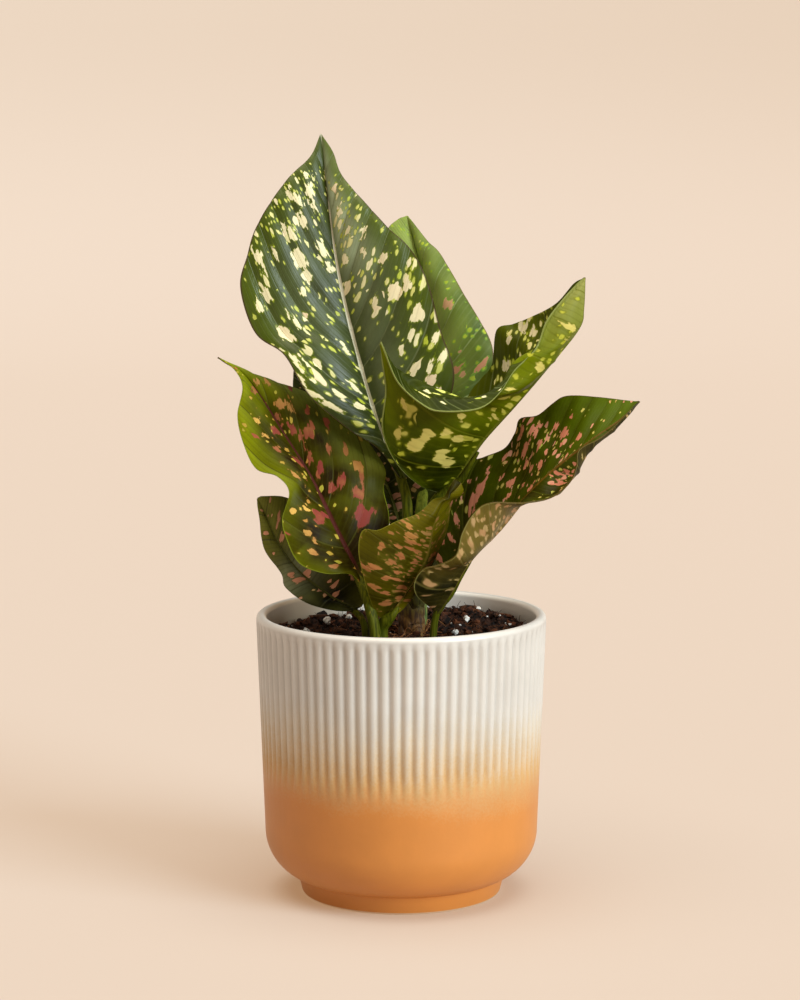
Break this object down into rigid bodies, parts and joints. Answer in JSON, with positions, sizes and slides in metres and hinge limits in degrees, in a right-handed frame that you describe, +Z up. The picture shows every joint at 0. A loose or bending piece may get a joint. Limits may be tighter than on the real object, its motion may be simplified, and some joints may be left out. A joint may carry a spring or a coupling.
{
  "type": "potted aglaonema",
  "caption": "Variegated aglaonema with broad wavy speckled leaves on short stalks, rooted in soil in a round fluted ceramic pot with a stepped foot and an ombre glaze.",
  "frame": {"origin": "middle of the flat underside of the pot's foot, on the surface that it stands on", "axes": "+Z up; the plant's best side faces -Y; +X to the right seen from the front"},
  "size_m": [0.2006, 0.14, 0.3661],
  "materials": {
    "glazed_pot": "satin glaze, warm white above and orange below",
    "soil": "matte, crumbly potting mix",
    "cane": "matte, fibrous",
    "spear": "smooth, satin",
    "dark_cream_leaf": "satin blade with cream spots",
    "light_green_leaf": "satin blade with small lime spots",
    "olive_leaf": "satin blade with yellow spots",
    "dark_pink_leaf": "satin blade with pink spots",
    "bronze_leaf": "satin blade with salmon spots",
    "lime_red_leaf": "satin blade with red spots"
  },
  "bodies": {
    "root": {"pot": "glazed_pot", "soil": "soil", "cane": "cane", "spear": "spear", "leaf_back_tall": "dark_cream_leaf", "leaf_back_right": "light_green_leaf", "leaf_trough": "olive_leaf", "leaf_right": "dark_pink_leaf", "leaf_front": "bronze_leaf", "leaf_left": "lime_red_leaf", "leaf_low_left": "dark_pink_leaf", "leaf_back_left": "dark_pink_leaf"}
  },
  "joints": []
}
